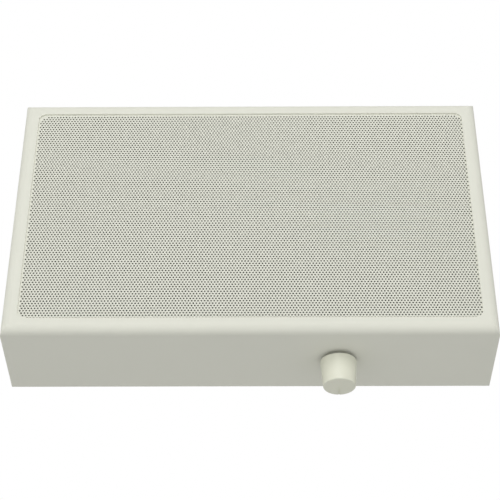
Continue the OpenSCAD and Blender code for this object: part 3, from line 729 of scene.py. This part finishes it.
def grown_mesh(name, tree, values):
    """Runs a geometry tree and leaves its result as a plain mesh object."""
    piece = add_object(name, bpy.data.meshes.new(name))
    modifier = piece.modifiers.new(name, "NODES")
    modifier.node_group = tree
    for item in tree.interface.items_tree:
        if item.in_out == "INPUT" and item.name in values:
            modifier[item.identifier] = values[item.name]
    depsgraph = bpy.context.evaluated_depsgraph_get()
    mesh = bpy.data.meshes.new_from_object(piece.evaluated_get(depsgraph))
    piece.modifiers.remove(modifier)
    piece.data = mesh
    mesh.name = name
    return piece


def perforated_tree():
    """Sheet with staggered round holes in a field with rounded corners, and plain cells around it."""
    tree = bpy.data.node_groups.new("Perforated sheet", "GeometryNodeTree")
    n, size = group_inputs(
        tree,
        [
            ("Columns", "Int", 10),
            ("Row pairs", "Int", 5),
            ("Hole pitch", "Float", 2 * MM),
            ("Hole diameter", "Float", 1.2 * MM),
            ("Hole sides", "Int", 8),
            ("Roundness", "Float", 1.0),
            ("Thickness", "Float", 0.8 * MM),
            ("Field middle", "Vector", (0.0, 0.0, 0.0)),
            ("Field half", "Vector", (0.0, 0.0, 0.0)),
            ("Field corner", "Float", 5 * MM),
            ("Back", "Vector", (0.0, 0.0, 0.0)),
            ("Paint", "Material", None),
        ],
    )
    pitch = size["Hole pitch"]
    columns = size["Columns"]
    pairs = size["Row pairs"]
    field_corner = size["Field corner"]
    row = pitch * ROW_RATIO

    def axes(vector):
        x = n.add("ShaderNodeSeparateXYZ", values={0: vector}, output="X")
        return x, n.other_output(x, "Y")

    def beyond(coordinate, limit):
        return n.math("MAXIMUM", n.math("ABSOLUTE", coordinate) - (limit - field_corner), 0.0)

    def grid(width, height, across, up):
        values = {"Size X": width, "Size Y": height, "Vertices X": across, "Vertices Y": up}
        return n.add("GeometryNodeMeshGrid", values=values)

    def shifted(geometry, y):
        offset = n.add("ShaderNodeCombineXYZ", values={"Y": y})
        return n.add("GeometryNodeTransform", values={"Geometry": geometry, "Translation": offset})

    def copies(points, instance, selection=True):
        values = {"Points": points, "Instance": instance, "Selection": selection}
        scattered = n.add("GeometryNodeInstanceOnPoints", values=values)
        return n.add("GeometryNodeRealizeInstances", values={0: scattered})

    def joined(*parts):
        return n.add("GeometryNodeJoinGeometry", values={0: list(parts)})

    def welded(geometry):
        values = {"Geometry": geometry, "Distance": 0.01 * MM}
        return n.add("GeometryNodeMergeByDistance", values=values)

    # A cell is left plain when its middle lies outside the rounded rectangle of the field
    x, y = axes(n.add("GeometryNodeInputPosition"))
    middle_x, middle_y = axes(size["Field middle"])
    half_x, half_y = axes(size["Field half"])
    side = beyond(x - middle_x, half_x)
    end = beyond(y - middle_y, half_y)
    outside = side * side + end * end > field_corner * field_corner
    inside = 1 - outside

    # An edge of a cell's rim has one face beside it, and any other edge has two
    rim = n.add("GeometryNodeInputMeshEdgeNeighbors") < 1.5
    plain_cell = grid(pitch, row, 3, 2)
    half_cell = grid(pitch * 0.5, row, 2, 2)
    outline = n.add("GeometryNodeMeshToCurve", values={"Mesh": plain_cell, "Selection": rim})
    corner = size["Hole diameter"] * size["Roundness"] * 0.5
    circle = {"Resolution": size["Hole sides"], "Radius": corner}
    hole = n.add("GeometryNodeCurvePrimitiveCircle", values=circle)
    cell = n.add("GeometryNodeFillCurve", values={"Curve": joined(outline, hole)})

    # Even rows are full, and odd rows stand half a pitch aside with half a cell at each end
    rows_high = (pairs - 1) * row * 2
    above = row * 0.5
    below = row * -0.5
    even_rows = shifted(grid((columns - 1) * pitch, rows_high, columns, pairs), above)
    odd_rows = shifted(grid((columns - 2) * pitch, rows_high, columns - 1, pairs), below)
    odd_ends = shifted(grid((columns - 0.5) * pitch, rows_high, 2, pairs), below)
    rows = joined(even_rows, odd_rows)
    pierced = copies(rows, cell, inside)
    plain = copies(rows, plain_cell, outside)
    ends = copies(odd_ends, half_cell)
    skin = welded(joined(pierced, plain, ends))

    # The skin, raised by the thickness and closed by its own flipped copy, becomes a solid sheet
    lift = n.add("ShaderNodeCombineXYZ", values={"Z": size["Thickness"]})
    extrusion = {"Mesh": skin, "Offset": lift, "Offset Scale": 1.0, "Individual": False}
    front = n.add("GeometryNodeExtrudeMesh", values=extrusion)
    back = n.add("GeometryNodeFlipFaces", values={"Mesh": skin})
    solid = welded(joined(front, back))
    turn = {"Geometry": solid, "Rotation": (math.pi / 2, 0.0, 0.0), "Translation": size["Back"]}
    placed = n.add("GeometryNodeTransform", values=turn)
    whole = n.add("GeometryNodeRealizeInstances", values={0: placed})
    painted = n.add("GeometryNodeSetMaterial", values={"Geometry": whole, "Material": size["Paint"]})
    n.add("NodeGroupOutput", values={0: painted})
    return tree


class SPEAKER_OT_stage(bpy.types.Operator):
    """Sets the camera, the lamps, the white surroundings and the floor"""

    bl_idname = "speaker.stage"
    bl_label = "Stage"

    def execute(self, context):
        settings = context.scene.speaker_stage
        self.set_camera(context.scene, settings)
        self.light_world(context.scene, settings)
        self.hang_lamps(settings)
        self.lay_floor(settings)
        context.scene.view_settings.view_transform = "Standard"
        return {"FINISHED"}

    def set_camera(self, scene, settings):
        camera = bpy.data.cameras.new("camera")
        camera.lens = settings.camera_lens
        camera.sensor_width = 36.0
        camera.clip_start = 0.01
        camera.clip_end = 50.0
        holder = add_object("camera", camera)
        holder.location = settings.camera_place
        holder.rotation_euler = settings.camera_turn
        scene.camera = holder

    def seen_directly(self, nodes):
        """1 for rays that show the surroundings: from the camera, by reflection or through glass."""
        camera = nodes.add("ShaderNodeLightPath", output="Is Camera Ray")
        glossy = nodes.other_output(camera, "Is Glossy Ray")
        clear = nodes.other_output(camera, "Is Transmission Ray")
        return nodes.math("MINIMUM", camera + glossy + clear, 1.0)

    def light_world(self, scene, settings):
        world = bpy.data.worlds.new("studio")
        world.use_nodes = True
        world.node_tree.nodes.clear()
        nodes = Nodes(world.node_tree)
        seen = self.seen_directly(nodes)
        strength = seen + (1 - seen) * settings.ambient
        background = nodes.add("ShaderNodeBackground", values={"Color": WHITE, "Strength": strength})
        nodes.add("ShaderNodeOutputWorld", values={"Surface": background})
        scene.world = world

    def hang_lamps(self, settings):
        """Hangs one large soft lamp far in front of the speaker and one on each side of it."""
        self.hang("key_lamp", place=(-0.4, -3.8, 1.3), size=3.0, power=settings.key_power)
        self.hang("left_lamp", place=(-3.6, -1.2, 0.2), size=2.0, power=settings.side_power)
        self.hang("right_lamp", place=(3.6, -1.2, 0.2), size=2.0, power=settings.side_power)

    def hang(self, name, place, size, power):
        lamp = bpy.data.lights.new(name, "AREA")
        lamp.shape = "DISK"
        lamp.size = size
        lamp.energy = power
        holder = add_object(name, lamp)
        holder.location = place
        holder.rotation_euler = (-holder.location).to_track_quat("-Z", "Y").to_euler()

    def lay_floor(self, settings):
        half = settings.floor_half
        height = settings.floor_height
        around = [(-half, -half), (half, -half), (half, half), (-half, half)]
        corners = [(x, y, height) for x, y in around]
        mesh = bpy.data.meshes.new("floor")
        mesh.from_pydata(corners, [], [(0, 1, 2, 3)])
        floor = add_object("floor", mesh)
        finish = Finish("studio_floor")
        seen = self.seen_directly(finish)
        grain = finish.noise(40 * MM)
        tone = finish.blend(grain, (0.90, 0.90, 0.90), (0.93, 0.93, 0.93))
        strength = seen * settings.floor_white + (1 - seen) * settings.floor_glow
        material = finish.shade(tone, roughness=0.9, emission_color=WHITE, emission_strength=strength)
        mesh.materials.append(material)


class SPEAKER_OT_finishes(bpy.types.Operator):
    """Makes the finish of every material slot"""

    bl_idname = "speaker.finishes"
    bl_label = "Finishes"

    def execute(self, context):
        scene = context.scene
        make_finishes(scene.speaker_cover, scene.speaker_knob)
        return {"FINISHED"}


class SPEAKER_OT_cover(bpy.types.Operator):
    """Paints the folded front cover"""

    bl_idname = "speaker.cover"
    bl_label = "Front cover"

    def execute(self, context):
        dress("front_cover")
        return {"FINISHED"}


class SPEAKER_OT_grille(bpy.types.Operator):
    """Perforates the grille with its real fine holes, in strips that meet between two rows"""

    bl_idname = "speaker.grille"
    bl_label = "Grille"

    def execute(self, context):
        settings = context.scene.speaker_grille
        low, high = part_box("grille_sheet")
        row = settings.pitch * ROW_RATIO
        columns = math.floor((high.x - low.x) / settings.pitch)
        half_width = columns * settings.pitch / 2
        pairs = settings.row_pairs
        bottom = settings.rise - pairs * row
        top = settings.rise + pairs * row
        margins = {"grille_lower_margin": (low.z, bottom), "grille_upper_margin": (top, high.z)}
        for name, (lower, upper) in margins.items():
            margin = slab(name, (-half_width, low.y, lower), (half_width, high.y, upper))
            self.settle(margin)
        # The top row stays plain, so the field's middle lies half a row under the middle of all rows
        field_middle = settings.rise - 0.5 * row
        # A tenth of a row is to spare against rounding at the lowest row and at the highest with holes
        field_half = (pairs - 1 + 0.1) * row
        # A circle of flat sides gets the area of a true one when its corners stand this much further out
        step = 2 * math.pi / settings.sides
        roundness = math.sqrt(step / math.sin(step))
        tree = perforated_tree()
        for number in range(settings.strips):
            share = pairs // settings.strips + (number < pairs % settings.strips)
            strip_middle = bottom + share * row
            values = {
                "Columns": columns,
                "Row pairs": share,
                "Hole pitch": settings.pitch,
                "Hole diameter": settings.hole,
                "Hole sides": settings.sides,
                "Roundness": roundness,
                "Thickness": high.y - low.y,
                "Back": (0.0, high.y, strip_middle),
                "Field middle": (settings.field_shift, field_middle - strip_middle, 0.0),
                "Field half": (settings.field_width / 2, field_half, 0.0),
                "Field corner": settings.field_corner,
                "Paint": bpy.data.materials["grille_paint"],
            }
            strip = grown_mesh(f"grille_strip_{number + 1}", tree, values)
            self.settle(strip)
            bottom += 2 * share * row
        return {"FINISHED"}

    def settle(self, piece):
        piece.data.materials.clear()
        piece.data.materials.append(bpy.data.materials["grille_paint"])
        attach(piece, "housing")
        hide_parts("grille_sheet")


class SPEAKER_OT_cloth(bpy.types.Operator):
    """Stretches the acoustic cloth between the grille and the board"""

    bl_idname = "speaker.cloth"
    bl_label = "Acoustic cloth"

    def execute(self, context):
        settings = context.scene.speaker_cloth
        low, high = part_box("grille_cloth")
        play = Vector((0.0, settings.play, 0.0))
        cloth = slab("stretched_cloth", low + play, high - play, settings.columns, settings.rows)
        for point in cloth.data.vertices:
            across = point.co.x / settings.wave_across
            up = point.co.z / settings.wave_up
            point.co.y += settings.wave * math.sin(across) * math.cos(up)
        cloth.data.shade_smooth()
        cloth.data.materials.append(bpy.data.materials["acoustic_cloth"])
        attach(cloth, "housing")
        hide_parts("grille_cloth")
        return {"FINISHED"}


class SPEAKER_OT_knob(bpy.types.Operator):
    """Finishes the knob"""

    bl_idname = "speaker.knob"
    bl_label = "Knob"

    def execute(self, context):
        dress("volume_knob")
        return {"FINISHED"}


class SPEAKER_OT_board(bpy.types.Operator):
    """Finishes the baffle board, its brackets and their wood screws"""

    bl_idname = "speaker.board"
    bl_label = "Baffle board"

    def execute(self, context):
        dress("baffle_board", "board_angles", "board_screws")
        return {"FINISHED"}


class SPEAKER_OT_driver_frame(bpy.types.Operator):
    """Finishes the driver's basket, gasket, tag strip, bolts and nuts"""

    bl_idname = "speaker.driver_frame"
    bl_label = "Driver frame"

    def execute(self, context):
        dress("driver_basket", "driver_gasket", "driver_tags", "driver_bolts", "driver_nuts")
        return {"FINISHED"}


class SPEAKER_OT_driver_cone(bpy.types.Operator):
    """Finishes what moves in the driver: cone, cap, former and coil"""

    bl_idname = "speaker.driver_cone"
    bl_label = "Driver cone"

    def execute(self, context):
        dress("paper_cone", "dust_cap", "coil_former", "voice_coil")
        return {"FINISHED"}


class SPEAKER_OT_suspension(bpy.types.Operator):
    """Remakes surround and spider as sectors, and the leads as one piece, in place of their CAD nodes"""

    bl_idname = "speaker.suspension"
    bl_label = "Suspension"

    def execute(self, context):
        settings = context.scene.speaker_driver
        self.stretch_round("surround", settings.sectors, settings.surround_lip, settings.surround_flange)
        self.stretch_round("spider", settings.sectors, settings.spider_hub, settings.spider_rim)
        leads = self.piece("stretching_leads", "tinsel_leads", self.merged("tinsel_leads"))
        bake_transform(leads)
        return {"FINISHED"}

    def merged(self, node):
        """A CAD node's mesh with its doubled corners made one."""
        form = bmesh.new()
        form.from_mesh(frame["nodes"][node].data)
        bmesh.ops.remove_doubles(form, verts=form.verts, dist=0.001 * MM)
        return form

    def piece(self, name, node, form):
        """Makes a form into a piece that replaces a CAD node, with the node's own finish."""
        mesh = bpy.data.meshes.new(name)
        form.to_mesh(mesh)
        form.free()
        mesh.materials.append(bpy.data.materials[slot_of(node)])
        made = add_object(name, mesh)
        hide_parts(node)
        return made

    def cut(self, form, axis, outwards):
        """Cuts away what lies on one side of a plane through the axis, and closes the cut."""
        everything = form.verts[:] + form.edges[:] + form.faces[:]
        plane = {"plane_co": axis, "plane_no": outwards, "clear_outer": True}
        cut = bmesh.ops.bisect_plane(form, geom=everything, **plane)
        edges = [item for item in cut["geom_cut"] if isinstance(item, bmesh.types.BMEdge)]
        bmesh.ops.triangle_fill(form, edges=edges, use_beauty=True, normal=outwards)

    def stretch_round(self, node, count, inner, outer):
        """Cuts a round node into equal sectors, each a piece centred on its own middle."""
        axis = centre(node)
        whole = self.merged(node)
        half = math.pi / count
        for number in range(count):
            middle = 2 * half * number
            form = whole.copy()
            for side in (-1, 1):
                edge = middle + side * half
                self.cut(form, axis, Vector((-math.sin(edge), 0.0, math.cos(edge))) * side)
            bmesh.ops.recalc_face_normals(form, faces=form.faces)
            sector = self.piece(f"{node}_sector_{number + 1}", node, form)
            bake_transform(sector)
        whole.free()


class SPEAKER_OT_driver_magnet(bpy.types.Operator):
    """Finishes the driver's front plate, ring magnet and yoke"""

    bl_idname = "speaker.driver_magnet"
    bl_label = "Driver magnet"

    def execute(self, context):
        dress("front_plate", "ring_magnet", "magnet_yoke")
        return {"FINISHED"}


class SPEAKER_OT_transformer(bpy.types.Operator):
    """Finishes the transformer's core, bobbin, winding, clamp and screws"""

    bl_idname = "speaker.transformer"
    bl_label = "Line transformer"

    def execute(self, context):
        dress(
            "transformer_core", "transformer_bobbin", "transformer_winding", "transformer_clamp",
            "transformer_screws",
        )
        return {"FINISHED"}


class SPEAKER_OT_control(bpy.types.Operator):
    """Finishes the volume control with its tags, washers, nut and shaft"""

    bl_idname = "speaker.control"
    bl_label = "Volume control"

    def execute(self, context):
        dress(
            "control_body", "control_tags", "control_lock_washer", "control_washer", "control_nut",
            "control_shaft",
        )
        return {"FINISHED"}


class SPEAKER_OT_terminals(bpy.types.Operator):
    """Finishes the terminal block with its sleeves and screws"""

    bl_idname = "speaker.terminals"
    bl_label = "Terminal block"

    def execute(self, context):
        dress("terminal_body", "terminal_sleeves", "terminal_screws", "terminal_fixings")
        return {"FINISHED"}


class SPEAKER_OT_wiring(bpy.types.Operator):
    """Finishes the three pairs of inner wires"""

    bl_idname = "speaker.wiring"
    bl_label = "Inner wiring"

    def execute(self, context):
        dress("feed_wires", "control_wires", "driver_wires")
        return {"FINISHED"}


class SPEAKER_OT_back(bpy.types.Operator):
    """Finishes the back plate, the cable grommet, and the cover's screws and clinch nuts"""

    bl_idname = "speaker.back"
    bl_label = "Back plate"

    def execute(self, context):
        dress("back_plate", "cable_grommet", "cover_screws", "cover_nuts")
        return {"FINISHED"}


class SPEAKER_PT_panel(bpy.types.Panel):
    """Lists the speaker's operators"""

    bl_idname = "SPEAKER_PT_panel"
    bl_label = "Wall speaker"
    bl_space_type = "VIEW_3D"
    bl_region_type = "UI"
    bl_category = "Speaker"

    def draw(self, context):
        for operator in OPERATORS:
            self.layout.operator(operator.bl_idname)


SETTINGS = {
    "speaker_stage": StageSettings,
    "speaker_cover": CoverSettings,
    "speaker_grille": GrilleSettings,
    "speaker_cloth": ClothSettings,
    "speaker_knob": KnobSettings,
    "speaker_driver": DriverSettings,
}
OPERATORS = [
    SPEAKER_OT_stage,
    SPEAKER_OT_finishes,
    SPEAKER_OT_cover,
    SPEAKER_OT_grille,
    SPEAKER_OT_cloth,
    SPEAKER_OT_knob,
    SPEAKER_OT_board,
    SPEAKER_OT_driver_frame,
    SPEAKER_OT_driver_cone,
    SPEAKER_OT_suspension,
    SPEAKER_OT_driver_magnet,
    SPEAKER_OT_transformer,
    SPEAKER_OT_control,
    SPEAKER_OT_terminals,
    SPEAKER_OT_wiring,
    SPEAKER_OT_back,
]


def register():
    for name, group in SETTINGS.items():
        bpy.utils.register_class(group)
        setattr(bpy.types.Scene, name, bpy.props.PointerProperty(type=group))
    for item in [*OPERATORS, SPEAKER_PT_panel]:
        bpy.utils.register_class(item)


def unregister():
    for item in [SPEAKER_PT_panel, *reversed(OPERATORS)]:
        bpy.utils.unregister_class(item)
    for name, group in SETTINGS.items():
        delattr(bpy.types.Scene, name)
        bpy.utils.unregister_class(group)


def main():
    register()
    for operator in OPERATORS:
        module, name = operator.bl_idname.split(".")
        getattr(getattr(bpy.ops, module), name)()
    check_dressed()


if __name__ == "__main__":
    main()
